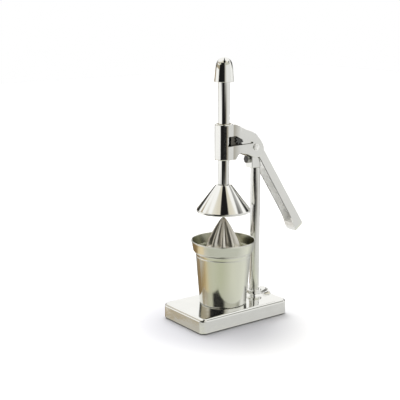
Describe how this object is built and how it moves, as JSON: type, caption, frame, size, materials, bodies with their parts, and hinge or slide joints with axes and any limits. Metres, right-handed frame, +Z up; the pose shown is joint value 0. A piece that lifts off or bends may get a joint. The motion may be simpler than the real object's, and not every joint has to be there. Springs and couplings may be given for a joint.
{
  "type": "lever_citrus_press",
  "caption": "Chrome lever citrus press: a rack-and-gear ram with a press cone above a fluted reamer, a strainer bowl and a tapered cup, on a column with a heavy base",
  "frame": {"origin": "on the axis of the ram, cup and reamer, at the surface that the press stands on", "axes": "+Z up along the ram, +Y back to the column and the lever, +X to the side of the pivot bolt's domed head"},
  "size_m": [0.108, 0.2431, 0.4188],
  "materials": {
    "chrome": "mirror chrome plate",
    "polished_steel": "polished stainless steel sheet",
    "steel": "turned and zinc plated steel",
    "dark_steel": "oiled cut gear steel",
    "brass": "turned bearing brass",
    "rubber": "matte black rubber"
  },
  "bodies": {
    "frame": {"base_mat": "rubber", "base_casting": "chrome", "base_plate": "steel", "base_screw_1": "steel", "base_screw_2": "steel", "base_screw_3": "steel", "base_screw_4": "steel", "column": "chrome", "column_washer": "steel", "column_bolt": "steel", "head_casting": "chrome", "head_clamp_bolt": "steel", "bush_upper": "brass", "bush_lower": "brass", "pivot_bolt": "chrome", "pivot_washer": "steel", "pivot_nut": "steel"},
    "lever": {"lever": "chrome"},
    "gear_train": {"gear_shaft": "steel", "rack_gear": "dark_steel", "pinion_right": "dark_steel", "pinion_left": "dark_steel"},
    "ram": {"ram": "chrome", "ram_cap": "chrome", "press_cone": "chrome", "cone_boss": "steel", "cone_nut": "steel"},
    "cup": {"cup": "polished_steel"},
    "strainer": {"strainer": "polished_steel", "reamer": "polished_steel", "reamer_screw": "steel"}
  },
  "joints": [
    {"name": "lever_swing", "type": "hinge", "parent": "frame", "child": "lever", "pos_m": [0, 0.054, 0.276], "axis": [1, 0, 0], "range_deg": [-22.5, 31]},
    {"name": "gear_spin", "type": "hinge", "parent": "frame", "child": "gear_train", "pos_m": [0, 0.02233, 0.28963], "axis": [1, 0, 0], "range_deg": [-136, 99]},
    {"name": "ram_slide", "type": "slide", "parent": "frame", "child": "ram", "axis": [0, 0, 1], "range_m": [-0.0258, 0.0356]},
    {"name": "cup_slide", "type": "slide", "parent": "frame", "child": "cup", "axis": [0, -1, 0], "range_m": [0, 0.15]},
    {"name": "strainer_lift", "type": "slide", "parent": "cup", "child": "strainer", "axis": [0, 0, 1], "range_m": [0, 0.006]}
  ],
  "couplings": [
    {"joint": "gear_spin", "follows": "lever_swing", "ratio": -4.375},
    {"joint": "ram_slide", "follows": "lever_swing", "m_per_rad": 0.065625}
  ]
}
